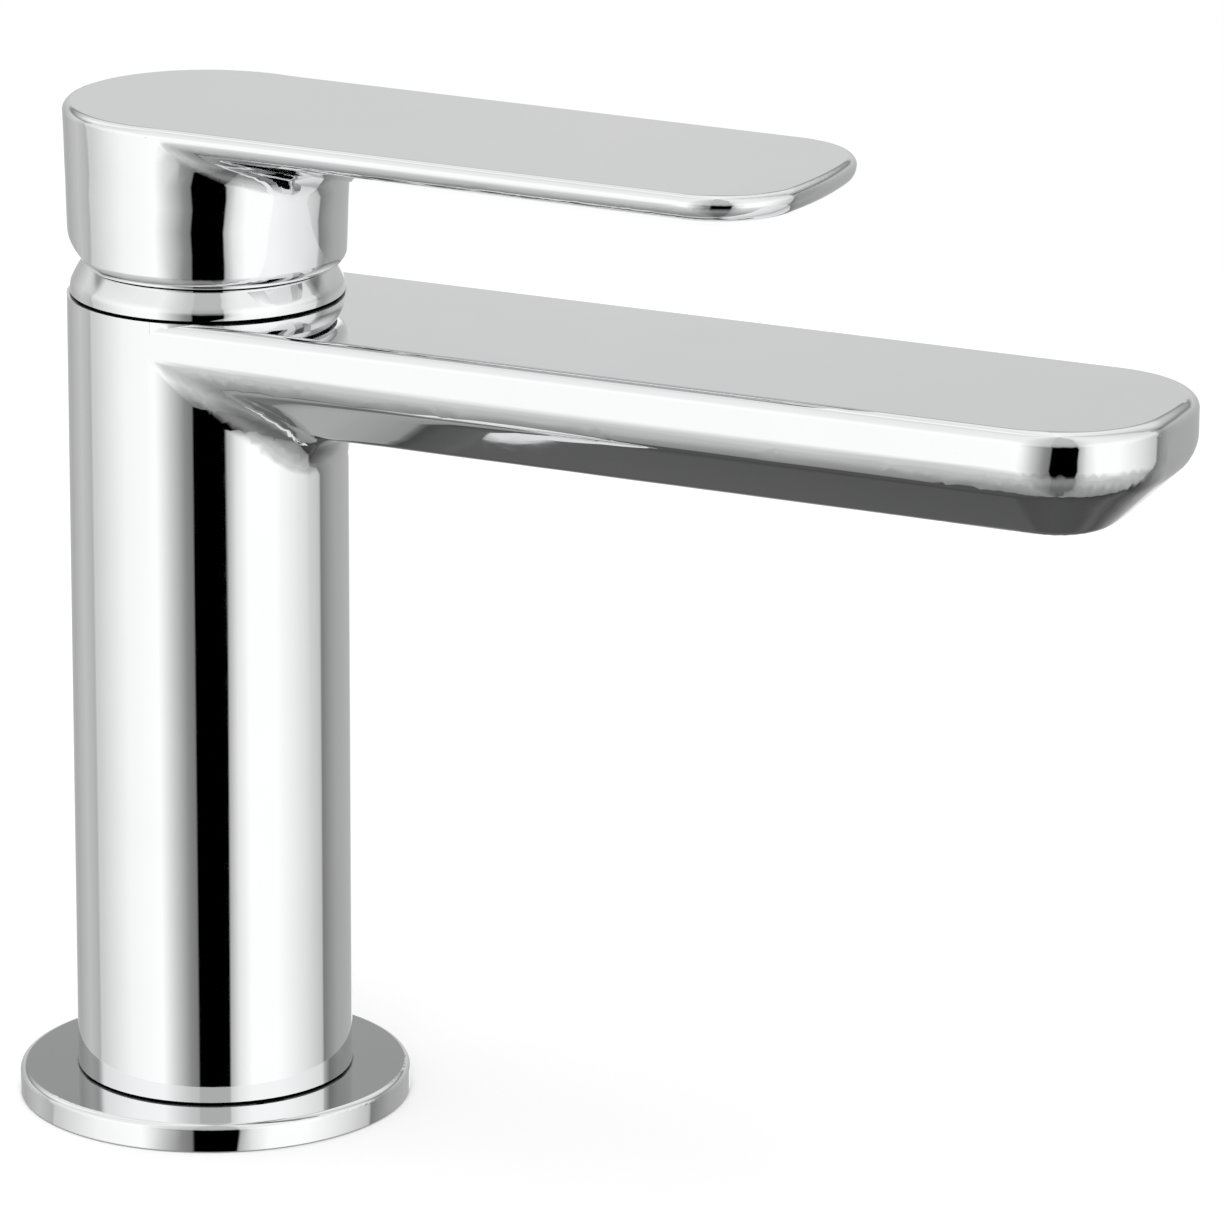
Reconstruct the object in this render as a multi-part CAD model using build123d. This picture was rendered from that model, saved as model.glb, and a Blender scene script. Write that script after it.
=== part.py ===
from build123d import *
import os
from math import asin, atan2, cos, hypot, pi, radians, sin, sqrt, tan

os.makedirs("parts", exist_ok=True)

# Basin mixer tap. Millimetres. The origin is on the deck at the centre of the foot,
# +X runs along the spout and +Z is up.

# Column, flange and spout
COLUMN_D = 38.0
COLUMN_WALL = 3.5
BODY_TOP = 113.6
FOOT_CHAMFER = 0.35
FLANGE_D = 54.0
FLANGE_T = 3.8
FLANGE_EDGE_R = 0.9
SPOUT_TIP = 141.3
SPOUT_NARROW = 0.05
SPOUT_BOW = 2.6
SPOUT_CORNER_R = 15.4
SPOUT_RIM = 7.4
SPOUT_DEPTH = 16.2
SPOUT_INSET = 9.8
SPOUT_NOSE = 9.0
SPOUT_TOP_R = 1.8
SPOUT_HULL_R = 6.0
SPOUT_KEEL_R = 4.5
SPOUT_ROOT_R = 6.5
SPOUT_WALL = 2.8

# Lever and boss, measured from the top of the column and from its skin
HEAD_H = 26.3
LEVER_NOD_DEG = 0.45
LEVER_TIP = 91.4
LEVER_OVER = 0.5
LEVER_NARROW = 0.3
LEVER_BOW = 2.6
LEVER_CORNER_R = 12.0
LEVER_RIM = 2.95
LEVER_DEPTH = 6.0
LEVER_INSET = 8.6
LEVER_NOSE = 8.6
LEVER_TOP_R = 1.2
LEVER_HULL_R = 2.5
LEVER_KEEL_R = 3.0
LEVER_ROOT_R = 4.0
BOSS_GAP = 4.4
BOSS_IN = 0.15
BOSS_EDGE_R = 1.9
BACK_EASE_R = 10.0
BACK_EASE_H = 7.5
BACK_EASE_SHIFT = 4.0

# Tilt centre, collar dome and the gap under the boss
PIVOT_DEPTH = 6.6
DOME_OVER = 1.25
DOME_GAP = 0.35
DOME_WALL = 2.0
DOME_ROOM = 0.8
COLLAR_IN = 0.45
COLLAR_EASE_R = 3.0
COLLAR_CHAMFER = 0.35

# Cartridge: the stack of pieces below the tilt centre, then the ways for water
BODY_WALL = 5.8
CARTRIDGE_WALL = 1.4
SHOULDER_DROP = 0.5
SHOULDER_T = 2.8
NECK_IN = 1.8
NECK_WALL = 1.6
NECK_H = 7.5
ROTOR_FLANGE_T = 3.5
ROTOR_TAB_HALF = 2.4
PRONG_HALF = 3.5
CARRIER_ROOM = 1.18
CARRIER_T = 6.2
CARRIER_CUT = 2.2
SLIDE_DISC_T = 3.1
SLIDE_ROOM = 0.25
SLIDE_TRAVEL = 3.5
DISC_T = 3.5
BASE_H = 6.0
BASE_FLANGE_T = 2.1
SEAT_T = 6.0
INLET_X = 2.0
INLET_Y = 5.8
DISC_PORT_R = 2.1
OUTLET_X = -3.5
OUTLET_R = 2.2
POCKET_L = 6.0
POCKET_HALF = 6.8
POCKET_CORNER_R = 2.0
CHAMBER_CUT = 1.4
CHAMBER_MARGIN = 0.7
LINK_H = 2.6
LINK_HALF = 6.0
SEAL_T = 1.5
SEAL_R = 4.4
PEG_R = 1.4
PEG_L = 1.4
PEG_X = -8.0
PEG_Y = 5.0
GROOVE_DEPTH = 1.1
GROOVE_HALF = 0.8

# Spindle and its fixing in the lever
SPINDLE_SHARE = 0.44
SPINDLE_SQUARE = 7.0
SPINDLE_COVER = 3.9
SQUARE_RISE = 1.0
BALL_R = 3.0
BALL_DROP = 10.0
BALL_FIT = 0.15
NECK_ROD_R = 2.0
NECK_ROD_L = 5.0
PIN_R = 1.45
PIN_FIT = 0.05
LIFT_DEG = 20.0
SWING_DEG = 45.0
SCREW_DROP = 4.5
SCREW_R = 2.0
SCREW_L = 8.0
KEY_R = 1.25
KEY_DEPTH = 2.5
PLUG_R = 2.9
PLUG_L = 3.4
PLUG_SUNK = 0.3
PLUG_EDGE_R = 0.5

# Retaining nut and limit ring
NUT_STEP = 1.9
NUT_SPIGOT_IN = 1.1
NUT_SUNK = 0.4
NUT_HEADROOM = 0.7
NOTCH_HALF = 1.5
NOTCH_H = 0.9
LIMIT_T = 2.0
LIMIT_TOOTH_H = 1.5
LIMIT_SPARE_DEG = 16.0

# Foot: manifold, risers and seals
MANIFOLD_TOP = 20.0
MANIFOLD_UP = 0.6
MANIFOLD_CHAMFER = 0.6
PORT_R = 4.5
PORT_L = 12.4
STUD_X = -9.5
STUD_R = 3.4
STUD_L = 15.0
RISER_R = 4.6
RISER_BORE_R = 3.2
RISER_IN = 4.0
SOCKET_DEPTH = 5.0
GASKET_IN_SHARE = 0.25
GASKET_OUT_SHARE = 0.33
GASKET_T = 1.6

# Aerator
AERATOR_IN = 21.3
AERATOR_R = 8.2
AERATOR_H = 6.6
AERATOR_RECESS = 0.4
AERATOR_BORE_R = 6.9
AERATOR_LIP = 0.7
AERATOR_LIP_H = 1.2
AERATOR_WALL = 2.0
AERATOR_SLOT_HALF = 0.9
AERATOR_SLOT_H = 0.8
WASHER_T = 1.0
WASHER_IN = 0.3
GRID_T = 3.0
GRID_PITCH = 2.3
GRID_HOLE = 1.7
GRID_RIM = 1.8
SCREEN_T = 0.8
SCREEN_HOLE_R = 0.7
SCREEN_INNER_R = 2.2
SCREEN_OUTER_R = 4.6

# Clearances
RUN_FIT = 0.1
LOOSE_FIT = 0.2
SEAL_FIT = 0.03
FACE_GAP = 0.02
TAB_GAP = 0.1

# Sizes that follow from the ones above: column, lever and dome
COLUMN_R = COLUMN_D / 2
COLUMN_BORE_R = COLUMN_R - COLUMN_WALL
SPOUT_HALF = COLUMN_R - SPOUT_NARROW
SPOUT_BOTTOM = BODY_TOP - SPOUT_DEPTH
LEVER_TOP = BODY_TOP + HEAD_H
LEVER_HALF = COLUMN_R + LEVER_OVER
BOSS_BOTTOM = BODY_TOP + BOSS_GAP
BOSS_LOW_R = COLUMN_R - BOSS_IN
PIVOT_Z = BODY_TOP - PIVOT_DEPTH
DOME_R = COLUMN_R + DOME_OVER
DOME_IN_R = DOME_R - DOME_WALL
CAVITY_R = DOME_R + DOME_GAP
COLLAR_LIP_R = COLUMN_R - COLLAR_IN

# Cartridge radii, from the column inwards
BORE_R = COLUMN_R - BODY_WALL
CHAMBER_R = BORE_R + CHAMBER_CUT
CARTRIDGE_R = BORE_R - LOOSE_FIT
HOUSING_IN_R = CARTRIDGE_R - CARTRIDGE_WALL
NECK_R = CARTRIDGE_R - NECK_IN
ROTOR_R = NECK_R - NECK_WALL - RUN_FIT
SPINDLE_R = SPINDLE_SHARE * ROTOR_R
ROTOR_FLANGE_R = HOUSING_IN_R - LOOSE_FIT
SLIDE_DISC_R = HOUSING_IN_R - SLIDE_TRAVEL / 2 - SLIDE_ROOM
CARRIER_FLAT = SLIDE_DISC_R - CARRIER_CUT
NUT_THREAD_R = BORE_R + NUT_STEP
NUT_SPIGOT_R = NUT_THREAD_R - NUT_SPIGOT_IN
DOME_OPENING_R = NECK_R + DOME_ROOM
HOUSING_GROOVE_R = CARTRIDGE_R - GROOVE_DEPTH - LOOSE_FIT
NUT_GROOVE_R = NUT_SPIGOT_R - GROOVE_DEPTH

# Cartridge heights, from the tilt centre down and then up
SHOULDER_Z = PIVOT_Z - SHOULDER_DROP
SHOULDER_MID = SHOULDER_Z - SHOULDER_T / 2
ROTOR_FLANGE_TOP = SHOULDER_Z - SHOULDER_T - LOOSE_FIT
ROTOR_Z = ROTOR_FLANGE_TOP - ROTOR_FLANGE_T
CARRIER_TOP = ROTOR_Z - CARRIER_ROOM
CARRIER_Z = CARRIER_TOP - CARRIER_T
SLIDE_Z = CARRIER_Z - SLIDE_DISC_T
DISC_Z = SLIDE_Z - FACE_GAP - DISC_T
SEAT_Z = DISC_Z - BASE_H
BASE_Z = SEAT_Z + LOOSE_FIT
BASE_STEP_Z = BASE_Z + BASE_FLANGE_T
OUTLET_Z = BASE_STEP_Z + RUN_FIT + LOOSE_FIT
CHAMBER_TOP = SHOULDER_Z - SHOULDER_T - CHAMBER_MARGIN
BALL_Z = PIVOT_Z - BALL_DROP
SLIDE_X = -SLIDE_TRAVEL / 2
NECK_TOP = SHOULDER_Z + NECK_H
ROTOR_TOP = NECK_TOP + LIMIT_T + LIMIT_TOOTH_H
SQUARE_FROM = ROTOR_TOP + SQUARE_RISE
SPINDLE_TOP = LEVER_TOP - SPINDLE_COVER
SCREW_Z = SPINDLE_TOP - SCREW_DROP
PLUG_FACE = LEVER_HALF - PLUG_SUNK
NUT_TOP = PIVOT_Z + sqrt(DOME_IN_R**2 - NUT_SPIGOT_R**2) - NUT_HEADROOM
NUT_GROOVE_Z = (BODY_TOP + NUT_TOP) / 2

# Foot and aerator
MANIFOLD_R = COLUMN_BORE_R - RUN_FIT
MANIFOLD_GROOVE_R = MANIFOLD_R - GROOVE_DEPTH
FLANGE_BORE_R = MANIFOLD_R + LOOSE_FIT
FLANGE_LAND = FLANGE_D / 2 - FLANGE_BORE_R
GASKET_IN = FLANGE_BORE_R + GASKET_IN_SHARE * FLANGE_LAND
GASKET_OUT = FLANGE_D / 2 - GASKET_OUT_SHARE * FLANGE_LAND
RISER_Z = MANIFOLD_TOP - SOCKET_DEPTH + SEAL_T
RISER_SEAT_Z = SEAT_Z - SEAT_T + RISER_IN
RISER_TOP = RISER_SEAT_Z - SEAL_T
AERATOR_X = SPOUT_TIP - AERATOR_IN
AERATOR_Z = SPOUT_BOTTOM + AERATOR_RECESS
AERATOR_TOP = AERATOR_Z + AERATOR_H
AERATOR_SHELF = AERATOR_TOP + WASHER_T
GRID_Z = AERATOR_Z + AERATOR_LIP_H
GRID_R = AERATOR_BORE_R - RUN_FIT

# A length that reaches past every piece, and how far a cut runs on past a face
FAR = 2 * SPOUT_TIP
PAST = 1.0


# Small helpers

def drum(r, z0, z1, x=0.0, y=0.0):
    base = (Align.CENTER, Align.CENTER, Align.MIN)
    return Pos(x, y, z0) * Cylinder(r, z1 - z0, align=base)


def ring(r_out, r_in, z0, z1, x=0.0, y=0.0):
    return drum(r_out, z0, z1, x, y) - drum(r_in, z0 - PAST, z1 + PAST, x, y)


def block(x0, x1, y0, y1, z0, z1):
    centre = Pos((x0 + x1) / 2, (y0 + y1) / 2, (z0 + z1) / 2)
    return centre * Box(x1 - x0, y1 - y0, z1 - z0)


def cross_slots(half, z0, z1):
    # two bars that cross on the axis
    bar = block(-FAR, FAR, -half, half, z0, z1)
    return bar + Rot(0, 0, 90) * bar


def o_ring(r_in, r_out, z):
    # round-section ring between an inner and an outer wall
    minor = (r_out - r_in) / 2 - SEAL_FIT
    return Pos(0, 0, z) * Torus((r_out + r_in) / 2, minor)


def spin(edges):
    # solid of revolution about the column's axis from a closed outline in X and Z
    return revolve(Plane.XZ * make_face(edges), Axis.Z)


def quarter(centre_x, centre_z, radius):
    # arc from straight below its centre round to the side away from the axis
    low = (centre_x, centre_z - radius)
    middle = (centre_x + radius * sin(pi / 4), centre_z - radius * cos(pi / 4))
    return ThreePointArc(low, middle, (centre_x + radius, centre_z))


def level_edges(solid, z):
    # edges that lie in the level plane at z, without an edge straight across the axis
    flat = []
    for edge in solid.edges():
        box = edge.bounding_box()
        across = abs(box.min.X) < 1e-3 and abs(box.max.X) < 1e-3
        if abs(box.min.Z - z) < 1e-3 and abs(box.max.Z - z) < 1e-3 and not across:
            flat.append(edge)
    return flat


def root_edges(solid, radius_at, low, top):
    # the line in which a blade leaves the round stem, whose radius is given for each height
    found = []
    for edge in solid.edges():
        points = [edge.position_at(t / 4) for t in range(5)]
        on_stem = all(abs(hypot(p.X, p.Y) - radius_at(p.Z)) < 0.02 for p in points)
        below = all(low < p.Z < top - 1e-3 for p in points[1:-1])
        if on_stem and below and points[2].X > 0.5:
            found.append(edge)
    return found


def save(name, shape):
    solids = shape.solids()
    body = solids[0] if len(solids) == 1 else Compound(children=list(solids))
    export_step(body, "parts/" + name + ".step")


# Flat blade with a boat-shaped underside, used for the spout and for the lever

def blade_plan(half, tip, bow, corner, z):
    shoulder = tip - bow
    plan = make_face([
        Line((0, -half), (shoulder, -half)),
        ThreePointArc((shoulder, -half), (tip, 0), (shoulder, half)),
        Line((shoulder, half), (0, half)),
        Line((0, half), (0, -half)),
    ])
    corners = plan.vertices().sort_by(Axis.X)[-2:]
    return Pos(0, 0, z) * fillet(corners, corner)


def blade(half, tip, bow, corner, top, rim, depth, inset, nose):
    plan = blade_plan(half, tip, bow, corner, top - rim)
    keel = blade_plan(half - inset, tip - nose, bow / 2, 0.45 * corner, top - depth)
    return extrude(plan, rim) + loft([plan, keel], ruled=True)


def round_hull(solid, top, rim, depth, hull_r, keel_r):
    solid = solid.fillet(hull_r, level_edges(solid, top - rim))
    return solid.fillet(keel_r, level_edges(solid, top - depth))


# Body: column and spout in one casting

def spout_shape():
    solid = blade(
        SPOUT_HALF, SPOUT_TIP, SPOUT_BOW, SPOUT_CORNER_R,
        BODY_TOP, SPOUT_RIM, SPOUT_DEPTH, SPOUT_INSET, SPOUT_NOSE,
    )
    return round_hull(solid, BODY_TOP, SPOUT_RIM, SPOUT_DEPTH, SPOUT_HULL_R, SPOUT_KEEL_R)


def spout_edge_waste():
    # what the rounding of the spout's upper edge takes off, outside the column
    plan = blade_plan(SPOUT_HALF, SPOUT_TIP, SPOUT_BOW, SPOUT_CORNER_R, BODY_TOP - SPOUT_RIM)
    sharp = extrude(plan, SPOUT_RIM)
    rounded = sharp.fillet(SPOUT_TOP_R, level_edges(sharp, BODY_TOP))
    return sharp - rounded - drum(COLUMN_R, 0, BODY_TOP + PAST)


def outer_body():
    column = drum(COLUMN_R, FLANGE_T, BODY_TOP)
    column = chamfer(level_edges(column, FLANGE_T), FOOT_CHAMFER)
    solid = column + spout_shape()
    root = root_edges(solid, lambda z: COLUMN_R, SPOUT_BOTTOM - PAST, BODY_TOP)
    return solid.fillet(SPOUT_ROOT_R, root) - spout_edge_waste()


def waterway():
    # hollow of the spout, a wall thickness inside its skin, with a ring left round the aerator
    slant = atan2(SPOUT_INSET, SPOUT_DEPTH - SPOUT_RIM)
    top = BODY_TOP - SPOUT_WALL
    rim = SPOUT_RIM - SPOUT_WALL - SPOUT_WALL * (1 - sin(slant)) / cos(slant)
    depth = SPOUT_DEPTH - 2 * SPOUT_WALL
    inset = (depth - rim) * SPOUT_INSET / (SPOUT_DEPTH - SPOUT_RIM)
    half = SPOUT_HALF - SPOUT_WALL
    tip = SPOUT_TIP - SPOUT_WALL
    hollow = blade(half, tip, SPOUT_BOW, SPOUT_CORNER_R - PAST, top, rim, depth, inset, inset)
    hollow = hollow - drum(COLUMN_R + SPOUT_WALL, 0, BODY_TOP)
    hollow = hollow - drum(AERATOR_R + AERATOR_WALL, 0, AERATOR_SHELF + PAST, AERATOR_X)
    reach = COLUMN_R + 2 * SPOUT_WALL
    return hollow + block(BORE_R, reach, -LINK_HALF, LINK_HALF, CHAMBER_TOP - LINK_H, CHAMBER_TOP)


def body_casting():
    # hollow foot of the column, then the bore of the cartridge
    solid = outer_body() - drum(COLUMN_BORE_R, FLANGE_T - PAST, SEAT_Z - SEAT_T)
    solid = solid - drum(BORE_R, SEAT_Z, BODY_TOP + PAST)
    solid = solid - drum(CHAMBER_R, BASE_STEP_Z, CHAMBER_TOP)
    solid = solid - drum(NUT_THREAD_R + RUN_FIT, SHOULDER_Z - LOOSE_FIT, BODY_TOP + PAST)
    for side in (-1, 1):
        y = side * INLET_Y
        solid = solid - drum(RISER_BORE_R, SEAT_Z - SEAT_T, SEAT_Z + PAST, INLET_X, y)
        solid = solid - drum(RISER_R + RUN_FIT, SEAT_Z - SEAT_T - PAST, RISER_SEAT_Z, INLET_X, y)
        solid = solid - drum(PEG_R + RUN_FIT, SEAT_Z - PEG_L - LOOSE_FIT, SEAT_Z + PAST, PEG_X, side * PEG_Y)
    solid = solid - waterway()
    solid = solid - drum(AERATOR_R + RUN_FIT, SPOUT_BOTTOM - PAST, AERATOR_SHELF, AERATOR_X)
    return solid - drum(AERATOR_BORE_R - WASHER_IN, AERATOR_TOP, AERATOR_SHELF + 2 * PAST, AERATOR_X)


# Foot of the tap

def base_flange():
    solid = drum(FLANGE_D / 2, 0, FLANGE_T)
    solid = fillet(level_edges(solid, FLANGE_T), FLANGE_EDGE_R)
    solid = solid - drum(FLANGE_BORE_R, -PAST, FLANGE_T + PAST)
    return solid - ring(GASKET_OUT + RUN_FIT, GASKET_IN - RUN_FIT, -PAST, GASKET_T)


def deck_gasket():
    return ring(GASKET_OUT, GASKET_IN, 0, GASKET_T)


def groove(r_out, r_in, z):
    return ring(r_out + PAST, r_in, z - GROOVE_HALF, z + GROOVE_HALF)


def inlet_manifold():
    solid = drum(MANIFOLD_R, MANIFOLD_UP, MANIFOLD_TOP)
    solid = chamfer(level_edges(solid, MANIFOLD_TOP), MANIFOLD_CHAMFER)
    solid = solid - groove(MANIFOLD_R, MANIFOLD_GROOVE_R, FLANGE_T / 2)
    for side in (-1, 1):
        y = side * INLET_Y
        solid = solid - drum(PORT_R, MANIFOLD_UP - PAST, MANIFOLD_UP + PORT_L, INLET_X, y)
        solid = solid - drum(RISER_BORE_R, MANIFOLD_UP, MANIFOLD_TOP, INLET_X, y)
        solid = solid - drum(RISER_R + RUN_FIT, MANIFOLD_TOP - SOCKET_DEPTH, MANIFOLD_TOP + PAST, INLET_X, y)
    return solid - drum(STUD_R, MANIFOLD_UP - PAST, MANIFOLD_UP + STUD_L, STUD_X)


def flange_o_ring():
    return o_ring(MANIFOLD_GROOVE_R, FLANGE_BORE_R, FLANGE_T / 2)


def riser(side):
    return ring(RISER_R, RISER_BORE_R, RISER_Z, RISER_TOP, INLET_X, side * INLET_Y)


def riser_seals():
    # flat rings at both ends of each riser
    rings = []
    for side in (-1, 1):
        for z in (RISER_Z - SEAL_T, RISER_TOP):
            bottom = z + FACE_GAP
            top = z + SEAL_T - FACE_GAP
            rings.append(ring(RISER_R, RISER_BORE_R, bottom, top, INLET_X, side * INLET_Y))
    return Compound(children=rings)


# Cartridge, fixed pieces

def outlet_window():
    # side way from the outlet hole to the chamber round the cartridge
    top = DISC_Z - CHAMBER_MARGIN
    return block(-CARTRIDGE_R - PAST, OUTLET_X, -OUTLET_R, OUTLET_R, OUTLET_Z, top)


def cartridge_base():
    solid = drum(CARTRIDGE_R, BASE_Z, BASE_STEP_Z) + drum(HOUSING_IN_R - RUN_FIT, BASE_STEP_Z, DISC_Z)
    for side in (-1, 1):
        y = side * INLET_Y
        solid = solid - drum(DISC_PORT_R + LOOSE_FIT, BASE_Z - PAST, DISC_Z + PAST, INLET_X, y)
        solid = solid - drum(SEAL_R + RUN_FIT, BASE_Z - PAST, SEAT_Z + SEAL_T, INLET_X, y)
        solid = solid + drum(PEG_R, SEAT_Z - PEG_L, BASE_Z + LOOSE_FIT, PEG_X, side * PEG_Y)
    solid = solid - outlet_window()
    return solid - drum(OUTLET_R, OUTLET_Z, DISC_Z + PAST, OUTLET_X)


def inlet_seals():
    seal = ring(SEAL_R, DISC_PORT_R + LOOSE_FIT, SEAT_Z, SEAT_Z + SEAL_T)
    return Compound(children=[Pos(INLET_X, side * INLET_Y, 0) * seal for side in (-1, 1)])


def cartridge_housing():
    neck_bore = ROTOR_R + RUN_FIT
    solid = ring(CARTRIDGE_R, HOUSING_IN_R, BASE_STEP_Z, SHOULDER_Z - SHOULDER_T)
    solid = solid + ring(CARTRIDGE_R, neck_bore, SHOULDER_Z - SHOULDER_T, SHOULDER_Z)
    solid = solid + ring(NECK_R, neck_bore, SHOULDER_Z, NECK_TOP)
    solid = solid - groove(CARTRIDGE_R, HOUSING_GROOVE_R, SHOULDER_MID)
    return solid - outlet_window()


def housing_o_ring():
    return o_ring(HOUSING_GROOVE_R, BORE_R, SHOULDER_MID)


def fixed_disc():
    top = DISC_Z + DISC_T
    solid = drum(HOUSING_IN_R - LOOSE_FIT, DISC_Z, top)
    for side in (-1, 1):
        solid = solid - drum(DISC_PORT_R, DISC_Z - PAST, top + PAST, INLET_X, side * INLET_Y)
    return solid - drum(OUTLET_R, DISC_Z - PAST, top + PAST, OUTLET_X)


def retaining_nut():
    solid = drum(NUT_THREAD_R, SHOULDER_Z, BODY_TOP - NUT_SUNK) + drum(NUT_SPIGOT_R, SHOULDER_Z, NUT_TOP)
    solid = solid - drum(NECK_R + LOOSE_FIT, SHOULDER_Z - PAST, NUT_TOP + PAST)
    solid = solid - groove(NUT_SPIGOT_R, NUT_GROOVE_R, NUT_GROOVE_Z)
    # four notches for the ring key
    return solid - cross_slots(NOTCH_HALF, NUT_TOP - NOTCH_H, NUT_TOP + PAST)


def limit_ring():
    # the raised part stops the rotor's tab a little beyond each end of the swing
    bore = ROTOR_R + LOOSE_FIT
    step = NECK_TOP + LIMIT_T
    solid = ring(NECK_R, bore, NECK_TOP, step)
    wall = ring(NECK_R, bore, step, step + LIMIT_TOOTH_H)
    turn = radians(SWING_DEG + LIMIT_SPARE_DEG)
    gate = make_face(Polyline(
        (0, 0),
        (FAR * cos(turn), -FAR * sin(turn)),
        (2 * FAR, -FAR * sin(turn)),
        (2 * FAR, FAR * sin(turn)),
        (FAR * cos(turn), FAR * sin(turn)),
        (0, 0),
    ))
    return solid + (wall - extrude(Pos(0, 0, step) * gate, LIMIT_TOOTH_H + PAST))


def dome_point(r, radius):
    return (r, PIVOT_Z + sqrt(radius**2 - r**2))


def dome_arc(r0, r1, radius):
    middle = dome_point((r0 + r1) / 2, radius)
    return ThreePointArc(dome_point(r0, radius), middle, dome_point(r1, radius))


def collar():
    bore = NUT_SPIGOT_R + RUN_FIT
    rim_in = DOME_OPENING_R * DOME_IN_R / DOME_R
    lip = dome_point(COLLAR_LIP_R, DOME_R)
    skirt = BODY_TOP + COLLAR_CHAMFER
    outline = make_face([
        Polyline((bore, BODY_TOP), (COLLAR_LIP_R - COLLAR_CHAMFER, BODY_TOP), (COLLAR_LIP_R, skirt), lip),
        dome_arc(COLLAR_LIP_R, DOME_OPENING_R, DOME_R),
        Line(dome_point(DOME_OPENING_R, DOME_R), dome_point(rim_in, DOME_IN_R)),
        dome_arc(rim_in, bore, DOME_IN_R),
        Line(dome_point(bore, DOME_IN_R), (bore, BODY_TOP)),
    ])
    # the easing between skirt and dome takes up most of the skirt's height, and no more
    bend = pi / 2 - asin(COLLAR_LIP_R / DOME_R)
    ease = min(COLLAR_EASE_R, 0.9 * (lip[1] - skirt) / tan(bend / 2))
    corner = outline.vertices().sort_by_distance(lip)[0]
    return revolve(Plane.XZ * fillet(corner, ease), Axis.Z)


def collar_o_ring():
    return o_ring(NUT_GROOVE_R, NUT_SPIGOT_R + RUN_FIT, NUT_GROOVE_Z)


# Aerator in the underside of the spout

def aerator_housing():
    solid = ring(AERATOR_R, AERATOR_BORE_R, AERATOR_Z, AERATOR_TOP)
    solid = solid + ring(AERATOR_BORE_R + LOOSE_FIT, AERATOR_BORE_R - AERATOR_LIP, AERATOR_Z, GRID_Z)
    solid = solid - cross_slots(AERATOR_SLOT_HALF, AERATOR_Z - PAST, AERATOR_Z + AERATOR_SLOT_H)
    return Pos(AERATOR_X, 0, 0) * solid


def aerator_grid():
    solid = drum(GRID_R, GRID_Z, GRID_Z + GRID_T)
    half = GRID_HOLE / 2
    reach = GRID_R - GRID_RIM
    count = int(reach // GRID_PITCH)
    steps = [i * GRID_PITCH for i in range(-count, count + 1)]
    for x in steps:
        for y in steps:
            if hypot(x, y) < reach:
                hole = block(x - half, x + half, y - half, y + half, GRID_Z - PAST, GRID_Z + GRID_T + PAST)
                solid = solid - hole
    return Pos(AERATOR_X, 0, 0) * solid


def aerator_screen():
    bottom = GRID_Z + GRID_T
    top = bottom + SCREEN_T
    solid = drum(GRID_R, bottom, top)
    for count, r in ((6, SCREEN_INNER_R), (12, SCREEN_OUTER_R)):
        for i in range(count):
            a = 2 * pi * i / count
            solid = solid - drum(SCREEN_HOLE_R, bottom - PAST, top + PAST, r * cos(a), r * sin(a))
    return Pos(AERATOR_X, 0, 0) * solid


def aerator_washer():
    return ring(AERATOR_R, AERATOR_BORE_R - WASHER_IN, AERATOR_TOP, AERATOR_SHELF, AERATOR_X)


# Cartridge, moving pieces

def pin_way(r, length):
    return Pos(0, 0, PIVOT_Z) * Rot(90, 0, 0) * Cylinder(r, length)


def tilt_slot():
    # way for the spindle through the rotor over the whole lift
    lift = radians(LIFT_DEG)
    half = SPINDLE_R / cos(lift) + LOOSE_FIT
    width = SPINDLE_R + LOOSE_FIT
    back = (ROTOR_TOP - PIVOT_Z) * tan(lift) + half
    front = (PIVOT_Z - ROTOR_Z) * tan(lift) + half
    return block(-back, front, -width, width, ROTOR_Z - PAST, ROTOR_TOP + PAST)


def rotor():
    solid = drum(ROTOR_FLANGE_R, ROTOR_Z, ROTOR_FLANGE_TOP) + drum(ROTOR_R, ROTOR_Z, ROTOR_TOP)
    tab_z = NECK_TOP + LIMIT_T + TAB_GAP
    solid = solid + block(0, NECK_R - TAB_GAP, -ROTOR_TAB_HALF, ROTOR_TAB_HALF, tab_z, ROTOR_TOP)
    solid = solid - tilt_slot()
    # two prongs guide the carrier along its flats
    near = CARRIER_FLAT + RUN_FIT
    far = SLIDE_DISC_R + PAST
    prong = block(-PRONG_HALF, PRONG_HALF, near, far, CARRIER_Z + PAST, ROTOR_Z + PAST)
    solid = solid + prong + Rot(0, 0, 180) * prong
    return solid - pin_way(PIN_R + PIN_FIT, FAR)


def pivot_pin():
    pin = Cylinder(PIN_R, 2 * ROTOR_R - PAST)
    ends = pin.edges().filter_by(GeomType.CIRCLE)
    return Pos(0, 0, PIVOT_Z) * Rot(90, 0, 0) * chamfer(ends, PIN_R / 5)


def disc_carrier():
    solid = drum(SLIDE_DISC_R, CARRIER_Z, CARRIER_TOP, SLIDE_X)
    solid = solid & block(-FAR, FAR, -CARRIER_FLAT, CARRIER_FLAT, CARRIER_Z, CARRIER_TOP)
    return solid - drum(BALL_R + BALL_FIT, BALL_Z - BALL_R - LOOSE_FIT, CARRIER_TOP + PAST)


def moving_disc():
    solid = drum(SLIDE_DISC_R, SLIDE_Z, CARRIER_Z, SLIDE_X)
    front = INLET_X - DISC_PORT_R - 2 * LOOSE_FIT
    roof = SLIDE_Z + SLIDE_DISC_T / 2
    pocket = block(front - POCKET_L, front, -POCKET_HALF, POCKET_HALF, SLIDE_Z - PAST, roof)
    return solid - fillet(pocket.edges().filter_by(Axis.Z), POCKET_CORNER_R)


# Spindle, lever and its fixing

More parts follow.
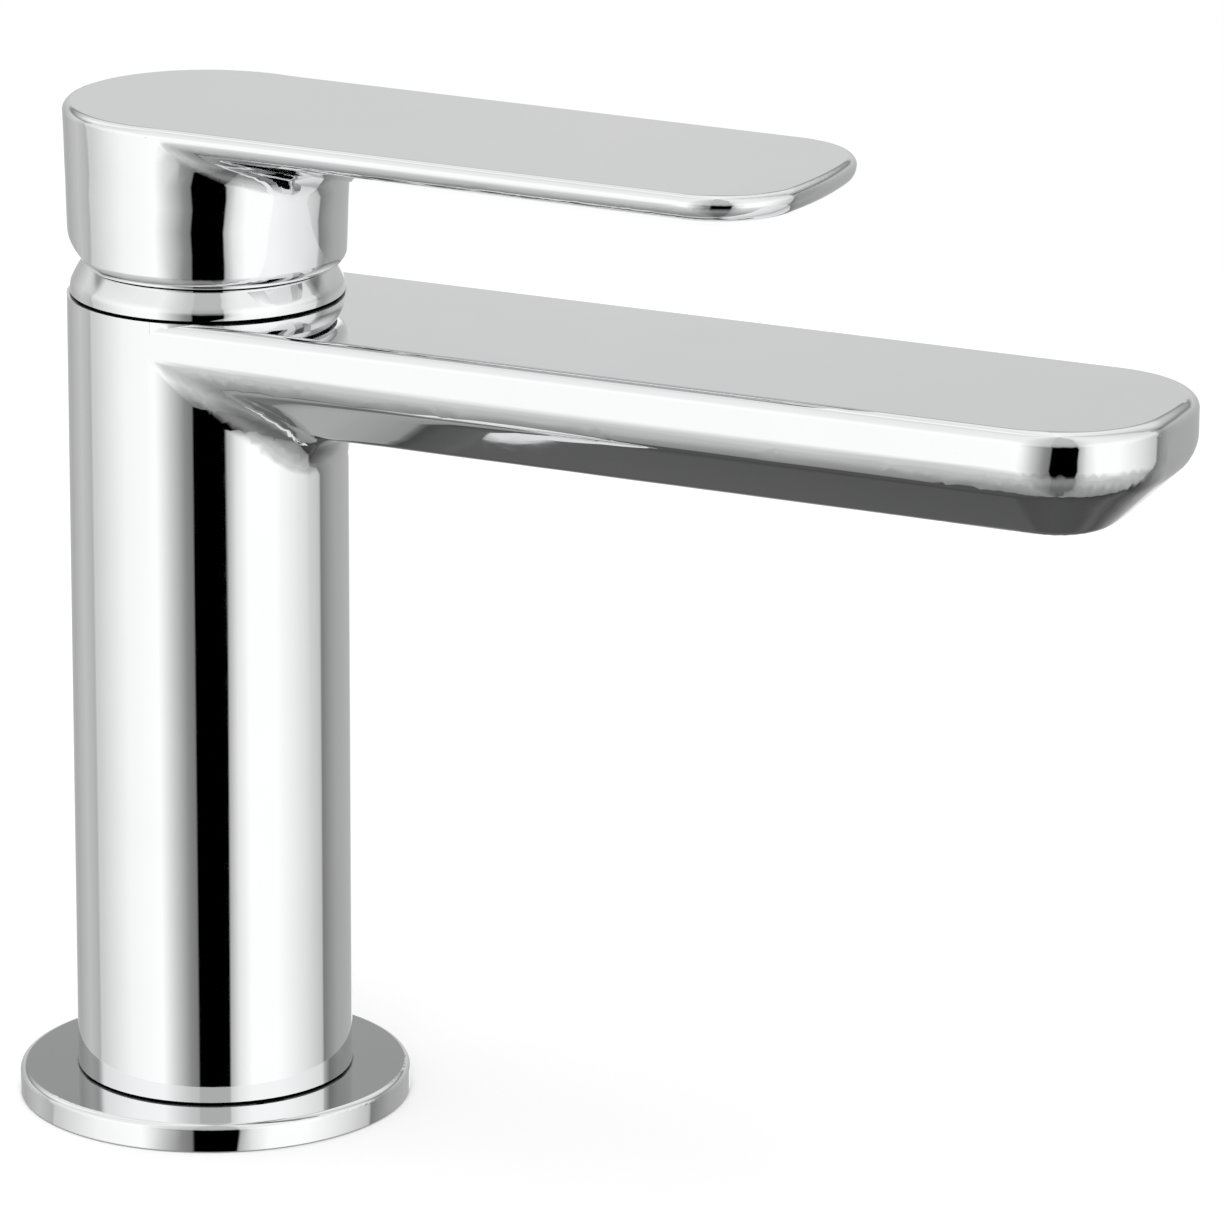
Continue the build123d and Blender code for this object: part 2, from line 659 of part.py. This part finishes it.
def spindle():
    half = SPINDLE_SQUARE / 2
    stem_z = BALL_Z + NECK_ROD_L
    solid = Pos(0, 0, BALL_Z) * Sphere(BALL_R)
    solid = solid + drum(NECK_ROD_R, BALL_Z, stem_z + LOOSE_FIT)
    solid = solid + drum(SPINDLE_R, stem_z, SQUARE_FROM)
    solid = solid + block(-half, half, -half, half, SQUARE_FROM - LOOSE_FIT, SPINDLE_TOP)
    return solid - pin_way(PIN_R + PIN_FIT, FAR)


def boss_radius(z):
    # the boss widens a little towards the top
    low = BOSS_BOTTOM + BOSS_EDGE_R
    return BOSS_LOW_R + (LEVER_HALF - BOSS_LOW_R) * (z - low) / (LEVER_TOP - low)


def boss():
    low = BOSS_BOTTOM + BOSS_EDGE_R
    inner = BOSS_LOW_R - BOSS_EDGE_R
    return spin([
        Line((0, BOSS_BOTTOM), (inner, BOSS_BOTTOM)),
        quarter(inner, low, BOSS_EDGE_R),
        Polyline((BOSS_LOW_R, low), (LEVER_HALF, LEVER_TOP), (0, LEVER_TOP), (0, BOSS_BOTTOM)),
    ])


def back_easing():
    # a larger drum with its axis further forward, which rounds the boss's lower edge more at the back
    reach = BOSS_LOW_R + BACK_EASE_SHIFT
    start = BOSS_BOTTOM + BACK_EASE_H
    inner = reach - BACK_EASE_R
    bottom = start - BACK_EASE_R
    ease = spin([
        Line((0, bottom), (inner, bottom)),
        quarter(inner, start, BACK_EASE_R),
        Polyline((reach, start), (FAR, start), (FAR, FAR), (0, FAR), (0, bottom)),
    ])
    return Pos(BACK_EASE_SHIFT, 0, 0) * ease


def outer_lever():
    solid = blade(
        LEVER_HALF - LEVER_NARROW, LEVER_TIP, LEVER_BOW, LEVER_CORNER_R,
        LEVER_TOP, LEVER_RIM, LEVER_DEPTH, LEVER_INSET, LEVER_NOSE,
    )
    solid = round_hull(solid, LEVER_TOP, LEVER_RIM, LEVER_DEPTH, LEVER_HULL_R, LEVER_KEEL_R)
    solid = boss() + solid
    root = root_edges(solid, boss_radius, BOSS_BOTTOM + BOSS_EDGE_R, LEVER_TOP)
    solid = solid.fillet(LEVER_ROOT_R, root)
    solid = solid.fillet(LEVER_TOP_R, level_edges(solid, LEVER_TOP))
    return solid & back_easing()


def lever_handle():
    # the closed lever rests with its tip a touch low
    pivot = Pos(0, 0, PIVOT_Z)
    solid = pivot * Rot(0, LEVER_NOD_DEG, 0) * Pos(0, 0, -PIVOT_Z) * outer_lever()
    solid = solid - pivot * Sphere(CAVITY_R)
    # square socket for the spindle and the screw way from the back
    half = SPINDLE_SQUARE / 2 + RUN_FIT
    solid = solid - block(-half, half, -half, half, PIVOT_Z, SPINDLE_TOP + 2 * LOOSE_FIT)
    way = Pos(0, 0, SCREW_Z) * Rot(0, -90, 0)
    solid = solid - way * drum(SCREW_R + RUN_FIT, 0, FAR)
    return solid - way * drum(PLUG_R + RUN_FIT, PLUG_FACE - PLUG_L, FAR)


def set_screw():
    start = SPINDLE_SQUARE / 2 + FACE_GAP
    end = start + SCREW_L
    key = extrude(Pos(0, 0, end - KEY_DEPTH) * RegularPolygon(KEY_R, 6), KEY_DEPTH + PAST)
    return Pos(0, 0, SCREW_Z) * Rot(0, -90, 0) * (drum(SCREW_R, start, end) - key)


def index_plug():
    solid = drum(PLUG_R, PLUG_FACE - PLUG_L, PLUG_FACE)
    solid = fillet(level_edges(solid, PLUG_FACE), PLUG_EDGE_R)
    return Pos(0, 0, SCREW_Z) * Rot(0, -90, 0) * solid


save("body_casting", body_casting())
save("base_flange", base_flange())
save("deck_gasket", deck_gasket())
save("flange_o_ring", flange_o_ring())
save("inlet_manifold", inlet_manifold())
save("hot_riser", riser(1))
save("cold_riser", riser(-1))
save("riser_seals", riser_seals())
save("cartridge_base", cartridge_base())
save("inlet_seals", inlet_seals())
save("cartridge_housing", cartridge_housing())
save("housing_o_ring", housing_o_ring())
save("fixed_disc", fixed_disc())
save("retaining_nut", retaining_nut())
save("limit_ring", limit_ring())
save("collar", collar())
save("collar_o_ring", collar_o_ring())
save("aerator_housing", aerator_housing())
save("aerator_grid", aerator_grid())
save("aerator_screen", aerator_screen())
save("aerator_washer", aerator_washer())
save("rotor", rotor())
save("pivot_pin", pivot_pin())
save("disc_carrier", disc_carrier())
save("moving_disc", moving_disc())
save("spindle", spindle())
save("lever_handle", lever_handle())
save("set_screw", set_screw())
save("index_plug", index_plug())
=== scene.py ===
import math

import bpy
from mathutils import Matrix, Vector

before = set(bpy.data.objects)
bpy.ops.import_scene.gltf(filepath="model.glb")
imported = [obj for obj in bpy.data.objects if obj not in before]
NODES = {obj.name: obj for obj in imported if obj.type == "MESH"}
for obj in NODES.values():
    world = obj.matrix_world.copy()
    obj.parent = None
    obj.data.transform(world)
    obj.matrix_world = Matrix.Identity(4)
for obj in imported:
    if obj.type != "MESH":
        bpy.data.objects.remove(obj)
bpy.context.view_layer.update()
SCENE = bpy.context.scene

# Camera at the photograph's viewing angle, in metres, with lens and sensor in millimetres
CAMERA_AT = (0.49391, -0.89353, 0.36796)
CAMERA_RIGHT = (0.89928, 0.43736, 0.00459)
CAMERA_UP = (-0.12718, 0.25142, 0.95949)
CAMERA_BACK = (0.41853, -0.86344, 0.28167)
CAMERA_LENS = 229.01
CAMERA_SENSOR = 36.0
CAMERA_NEAREST = 0.01
CAMERA_FARTHEST = 50

# Level directions from the object towards the camera and to the camera's right
TOWARDS = (0.43620, -0.89986, 0.0)
SIDEWAYS = (0.89986, 0.43620, 0.0)
UPWARDS = (0, 0, 1)

WHITE = (1, 1, 1, 1)
BLACK = (0, 0, 0, 1)

# Light: what matt surfaces get from all round, then place, size and power of each lamp
SOFT_LIGHT = (0.72, 0.72, 0.72, 1)
LAMPS = {
    "lamp_over": ((0.1, -0.1, 1.6), 1.6, 9.0),
    "lamp_front": ((0.6, -1.3, 1.1), 1.0, 5.0),
}

# Floor: half its side and its level in metres, its colour and what it adds for the camera
FLOOR_HALF = 0.5
FLOOR_LEVEL = -0.0002
FLOOR_COLOUR = (0.9, 0.9, 0.9, 1)
FLOOR_GLOW = 0.18

# Which finish each solid has
FINISHES = {
    "chrome_body": ["body_casting"],
    "chrome_flange": ["base_flange"],
    "chrome_collar": ["collar"],
    "chrome_lever": ["lever_handle"],
    "rubber": ["deck_gasket", "flange_o_ring", "riser_seals", "inlet_seals",
               "housing_o_ring", "collar_o_ring", "aerator_washer"],
    "brass": ["inlet_manifold", "hot_riser", "cold_riser", "retaining_nut"],
    "steel": ["pivot_pin", "spindle", "set_screw"],
    "ceramic": ["fixed_disc", "moving_disc"],
    "white_plastic": ["cartridge_base", "cartridge_housing", "rotor", "disc_carrier"],
    "red_plastic": ["limit_ring"],
    "aerator_plastic": ["aerator_housing"],
    "grid_plastic": ["aerator_grid", "aerator_screen"],
    "plug_plastic": ["index_plug"],
}

# Chrome: how fine its drift in tone is on each piece, in waves per metre
CHROME_DRIFT = {"chrome_body": 60, "chrome_flange": 75, "chrome_collar": 90, "chrome_lever": 68}
CHROME_TONES = [(0.3, (0.925, 0.93, 0.935)), (0.7, (0.945, 0.947, 0.95))]
CHROME_POLISH = [(0.35, 0.02), (0.7, 0.05)]
POLISH_FINER = 6
# Painted shade in the chrome's colour: ambient occlusion reach in metres, its samples, and the
# ramp from occlusion to darkening in seams and creases
PAINTED_SHADE_REACH = 0.0007
PAINTED_SHADE_SAMPLES = 8
PAINTED_SHADE_RAMP = [(0.36, 0.10), (0.70, 1.0)]

# Other finishes: dark tone, light tone, roughness from and to, grain per metre, grain depth
OTHER_FINISHES = {
    "rubber": ((0.018, 0.018, 0.019), (0.034, 0.034, 0.035), (0.62, 0.8), 2600, 2e-5),
    "brass": ((0.66, 0.48, 0.22), (0.76, 0.6, 0.31), (0.2, 0.34), 900, 1e-5),
    "steel": ((0.5, 0.51, 0.52), (0.62, 0.63, 0.64), (0.2, 0.32), 1200, 8e-6),
    "ceramic": ((0.86, 0.85, 0.82), (0.92, 0.91, 0.885), (0.1, 0.17), 1500, 3e-6),
    "white_plastic": ((0.79, 0.79, 0.77), (0.85, 0.85, 0.83), (0.35, 0.5), 1800, 8e-6),
    "red_plastic": ((0.48, 0.045, 0.04), (0.6, 0.075, 0.06), (0.35, 0.5), 1800, 8e-6),
    "aerator_plastic": ((0.56, 0.57, 0.58), (0.64, 0.65, 0.66), (0.2, 0.3), 1800, 6e-6),
    "grid_plastic": ((0.3, 0.31, 0.32), (0.39, 0.4, 0.41), (0.4, 0.55), 1800, 8e-6),
    "plug_plastic": ((0.56, 0.57, 0.58), (0.64, 0.65, 0.66), (0.18, 0.28), 1800, 5e-6),
}
# Metals among them, with the stretch that turns their grain into turning marks
TURNED_METALS = {"brass": (1, 1, 7), "steel": (1, 1, 9)}
EVEN_GRAIN = (1, 1, 1)
GRAIN_SPAN = (0.3, 0.7)
GRAIN_DETAIL = 3.0
GRAIN_STRENGTH = 0.25

# Shading of the chrome: faces are joined within this distance in metres, and edges are
# sharp from this angle on
JOIN_WITHIN = 2e-6
SHARP_FROM = math.radians(30)
LARGE_FACES_LEAD = 50


class Graph:
    """A node tree with short calls for adding nodes and links."""

    def __init__(self, tree):
        self.tree = tree
        tree.nodes.clear()

    def add(self, kind, **settings):
        node = self.tree.nodes.new(kind)
        for name, value in settings.items():
            setattr(node, name, value)
        return node

    def link(self, out, into):
        self.tree.links.new(out, into)

    def feed(self, socket, value):
        # a number or a colour is set on the socket, and an output is linked to it
        if isinstance(value, (int, float, tuple)):
            socket.default_value = value
        else:
            self.link(value, socket)

    def math(self, operation, *values):
        node = self.add("ShaderNodeMath", operation=operation)
        for socket, value in zip(node.inputs, values):
            self.feed(socket, value)
        return node.outputs[0]

    def dot(self, vector, constant):
        node = self.add("ShaderNodeVectorMath", operation="DOT_PRODUCT")
        self.link(vector, node.inputs[0])
        node.inputs[1].default_value = constant
        return node.outputs["Value"]

    def ramp(self, factor, stops):
        # stops are pairs of position and grey level, or of position and colour
        node = self.add("ShaderNodeValToRGB")
        elements = node.color_ramp.elements
        while len(elements) < len(stops):
            elements.new(0.5)
        for element, (position, level) in zip(elements, stops):
            element.position = position
            grey = isinstance(level, (int, float))
            element.color = (level, level, level, 1) if grey else (*level, 1)
        self.link(factor, node.inputs["Fac"])
        return node.outputs["Color"]

    def mix(self, factor, a, b, blend="MIX"):
        node = self.add("ShaderNodeMix", data_type="RGBA", blend_type=blend)
        sockets = [socket for socket in node.inputs if socket.enabled]
        for socket, value in zip(sockets, (factor, a, b)):
            self.feed(socket, value)
        return [socket for socket in node.outputs if socket.enabled][0]


# Studio round the object: two soft boxes beside the camera with a dark gap between them, a dim
# room and a white backdrop behind, a table below and a ceiling. Each list pairs an angle in
# degrees with a brightness or a share. Turns are counted from the camera to the right, and
# heights from level

def by_turn(stops):
    return [((angle + 180) / 360, level) for angle, level in stops]


def by_height(stops):
    return [((angle + 90) / 180, level) for angle, level in stops]


GAP_AND_BOXES = by_turn([
    (-180, 0.46), (-150, 0.38), (-126, 0.50), (-110, 0.42), (-108, 0.60), (-70, 0.98), (-41, 1.06),
    (-28, 0.60), (-17, 0.27), (-11.2, 0.20), (-10.6, 0.0), (15.8, 0.0), (16.6, 0.42), (24, 0.82),
    (34, 1.06), (58, 1.06), (86, 0.78), (105, 0.54), (107, 0.20), (128, 0.35), (180, 0.46),
])
BACK_HALF = by_turn([
    (-180, 1.0), (-114, 1.0), (-104, 0.0), (104, 0.0), (114, 1.0), (180, 1.0),
])
BOXES_BY_HEIGHT = by_height([
    (-90, 0.12), (-58, 0.2), (-42, 0.3), (-30, 0.55), (-21, 0.97), (-19.5, 1.0), (-5, 1.0),
    (9, 0.66), (30, 0.4), (90, 0.3),
])
BEHIND_BY_HEIGHT = by_height([
    (-90, 0.15), (-62, 0.18), (-56, 0.28), (-50, 0.2), (-44, 0.32), (-36, 0.65), (-28, 1.0),
    (6, 1.32), (13, 1.44), (16, 1.34), (19, 0.72), (21, 0.66), (27, 1.3), (36, 2.0), (90, 2.2),
])
TABLE_AND_CEILING = by_height([
    (-90, 0.10), (-62, 0.15), (-48, 0.24), (-38, 0.22), (-24, 0.0), (-5, 0.0), (9, 0.4),
    (28, 0.5), (90, 0.55),
])
BACKDROP_BY_TURN = by_turn([
    (-180, 1.0), (-172, 1.0), (-166, 0.0), (166, 0.0), (172, 1.0), (180, 1.0),
])
BACKDROP_BY_HEIGHT = by_height([
    (-90, 0.0), (-32, 0.0), (-26, 1.0), (-4, 1.0), (0, 0.0), (90, 0.0),
])


def studio():
    world = bpy.data.worlds.new("studio")
    SCENE.world = world
    world.use_nodes = True
    g = Graph(world.node_tree)
    direction = g.add("ShaderNodeTexCoord").outputs["Generated"]
    turn = g.math("ARCTAN2", g.dot(direction, SIDEWAYS), g.dot(direction, TOWARDS))
    turn = g.math("MULTIPLY_ADD", turn, 1 / (2 * math.pi), 0.5)
    height = g.math("ARCSINE", g.dot(direction, UPWARDS))
    height = g.math("MULTIPLY_ADD", height, 1 / math.pi, 0.5)

    back = g.ramp(turn, BACK_HALF)
    fall = g.mix(back, g.ramp(height, BOXES_BY_HEIGHT), g.ramp(height, BEHIND_BY_HEIGHT))
    room = g.mix(1.0, g.ramp(turn, GAP_AND_BOXES), fall, "MULTIPLY")
    table = g.mix(back, g.ramp(height, TABLE_AND_CEILING), BLACK)
    seen = g.mix(1.0, room, table, "ADD")
    backdrop = g.math(
        "MULTIPLY", g.ramp(turn, BACKDROP_BY_TURN), g.ramp(height, BACKDROP_BY_HEIGHT))
    seen = g.mix(backdrop, seen, WHITE)

    path = g.add("ShaderNodeLightPath")
    soft = g.mix(path.outputs["Is Diffuse Ray"], seen, SOFT_LIGHT)
    colour = g.mix(path.outputs["Is Camera Ray"], soft, WHITE)
    background = g.add("ShaderNodeBackground")
    background.inputs["Strength"].default_value = 1.0
    g.link(colour, background.inputs["Color"])
    g.link(background.outputs[0], g.add("ShaderNodeOutputWorld").inputs["Surface"])


def lamp(name, at, size, watts):
    data = bpy.data.lights.new(name, "AREA")
    data.energy = watts
    data.size = size
    piece = bpy.data.objects.new(name, data)
    piece.location = at
    piece.rotation_euler = (-Vector(at)).to_track_quat("-Z", "Y").to_euler()
    piece.visible_glossy = False
    piece.visible_camera = False
    SCENE.collection.objects.link(piece)


def floor():
    mesh = bpy.data.meshes.new("floor")
    signs = [(-1, -1), (1, -1), (1, 1), (-1, 1)]
    corners = [(x * FLOOR_HALF, y * FLOOR_HALF, FLOOR_LEVEL) for x, y in signs]
    mesh.from_pydata(corners, [], [(0, 1, 2, 3)])
    piece = bpy.data.objects.new("floor", mesh)
    SCENE.collection.objects.link(piece)
    sheet = bpy.data.materials.new("floor_white")
    sheet.use_nodes = True
    g = Graph(sheet.node_tree)
    diffuse = g.add("ShaderNodeBsdfDiffuse")
    diffuse.inputs["Color"].default_value = FLOOR_COLOUR
    glow = g.add("ShaderNodeEmission")
    camera_ray = g.add("ShaderNodeLightPath").outputs["Is Camera Ray"]
    g.link(g.math("MULTIPLY", camera_ray, FLOOR_GLOW), glow.inputs["Strength"])
    both = g.add("ShaderNodeAddShader")
    g.link(diffuse.outputs[0], both.inputs[0])
    g.link(glow.outputs[0], both.inputs[1])
    g.link(both.outputs[0], g.add("ShaderNodeOutputMaterial").inputs["Surface"])
    mesh.materials.append(sheet)
    # polished metal sees the studio's table in place of the sheet under the tap
    piece.visible_glossy = False


def camera():
    data = bpy.data.cameras.new("camera")
    data.lens = CAMERA_LENS
    data.sensor_width = CAMERA_SENSOR
    data.clip_start = CAMERA_NEAREST
    data.clip_end = CAMERA_FARTHEST
    piece = bpy.data.objects.new("camera", data)
    columns = Matrix((CAMERA_RIGHT, CAMERA_UP, CAMERA_BACK)).transposed().to_4x4()
    piece.matrix_world = Matrix.Translation(CAMERA_AT) @ columns
    SCENE.collection.objects.link(piece)
    SCENE.camera = piece


# Materials

def material(name):
    made = bpy.data.materials.new(name)
    made.use_nodes = True
    g = Graph(made.node_tree)
    shader = g.add("ShaderNodeBsdfPrincipled")
    g.link(shader.outputs[0], g.add("ShaderNodeOutputMaterial").inputs["Surface"])
    return made, g, shader


def noise(g, scale, stretch=EVEN_GRAIN):
    place = g.add("ShaderNodeMapping")
    place.inputs["Scale"].default_value = stretch
    g.link(g.add("ShaderNodeTexCoord").outputs["Object"], place.inputs["Vector"])
    node = g.add("ShaderNodeTexNoise")
    node.inputs["Scale"].default_value = scale
    node.inputs["Detail"].default_value = GRAIN_DETAIL
    g.link(place.outputs[0], node.inputs["Vector"])
    return node.outputs["Fac"]


def bump(g, shader, height, depth):
    node = g.add("ShaderNodeBump")
    node.inputs["Strength"].default_value = GRAIN_STRENGTH
    node.inputs["Distance"].default_value = depth
    g.link(height, node.inputs["Height"])
    g.link(node.outputs[0], shader.inputs["Normal"])


def chrome(name, drift):
    # bright plating with the faintest drift in tone and polish, and painted shade: ambient
    # occlusion darkens its colour in the seams and creases between pieces
    made, g, shader = material(name)
    shader.inputs["Metallic"].default_value = 1.0
    tone = g.ramp(noise(g, drift), CHROME_TONES)
    # painted shade: the base colour is multiplied darker where ambient occlusion finds nearby
    # surfaces
    painted_shade_occlusion = g.add("ShaderNodeAmbientOcclusion")
    painted_shade_occlusion.samples = PAINTED_SHADE_SAMPLES
    painted_shade_occlusion.inputs["Distance"].default_value = PAINTED_SHADE_REACH
    painted_shade_factor = g.ramp(painted_shade_occlusion.outputs["AO"], PAINTED_SHADE_RAMP)
    g.link(g.mix(1.0, tone, painted_shade_factor, "MULTIPLY"), shader.inputs["Base Color"])
    polish_level = g.ramp(noise(g, POLISH_FINER * drift), CHROME_POLISH)
    g.link(polish_level, shader.inputs["Roughness"])
    return made


def plain(name, dark, light, rough, grain, depth):
    # one finish from two tones, two polish levels and a grain
    made, g, shader = material(name)
    shader.inputs["Metallic"].default_value = 1.0 if name in TURNED_METALS else 0.0
    texture = noise(g, grain, TURNED_METALS.get(name, EVEN_GRAIN))
    g.link(g.ramp(texture, list(zip(GRAIN_SPAN, (dark, light)))), shader.inputs["Base Color"])
    g.link(g.ramp(texture, list(zip(GRAIN_SPAN, rough))), shader.inputs["Roughness"])
    bump(g, shader, texture, depth)
    return made


def finishes():
    made = {name: chrome(name, drift) for name, drift in CHROME_DRIFT.items()}
    made.update({name: plain(name, *values) for name, values in OTHER_FINISHES.items()})
    return made


# Shading of the chrome and finish of every solid

def smooth_group():
    # joins the faces of a solid and shades them as one surface, except at its sharp edges
    group = bpy.data.node_groups.new("smooth_faces", "GeometryNodeTree")
    for side in ("INPUT", "OUTPUT"):
        group.interface.new_socket("Geometry", in_out=side, socket_type="NodeSocketGeometry")
    g = Graph(group)
    weld = g.add("GeometryNodeMergeByDistance")
    weld.inputs["Distance"].default_value = JOIN_WITHIN
    faces = g.add("GeometryNodeSetShadeSmooth")
    edges = g.add("GeometryNodeSetShadeSmooth", domain="EDGE")
    angle = g.add("GeometryNodeInputMeshEdgeAngle").outputs["Unsigned Angle"]
    g.link(g.math("LESS_THAN", angle, SHARP_FROM), edges.inputs["Shade Smooth"])
    chain = [g.add("NodeGroupInput"), weld, faces, edges, g.add("NodeGroupOutput")]
    for before, after in zip(chain, chain[1:]):
        g.link(before.outputs[0], after.inputs[0])
    return group


def polish(piece, group):
    # the larger faces lead where two meet, so that reflections run on smoothly
    smooth = piece.modifiers.new("smooth", "NODES")
    smooth.node_group = group
    lead = piece.modifiers.new("lead", "WEIGHTED_NORMAL")
    lead.mode = "FACE_AREA"
    lead.weight = LARGE_FACES_LEAD
    lead.keep_sharp = True


def dress():
    made = finishes()
    group = smooth_group()
    for finish, names in FINISHES.items():
        for name in names:
            for slot in NODES[name].material_slots:
                slot.material = made[finish]
            if finish in CHROME_DRIFT:
                polish(NODES[name], group)


studio()
floor()
for lamp_name, lamp_values in LAMPS.items():
    lamp(lamp_name, *lamp_values)
camera()
dress()
SCENE.view_settings.view_transform = "Standard"
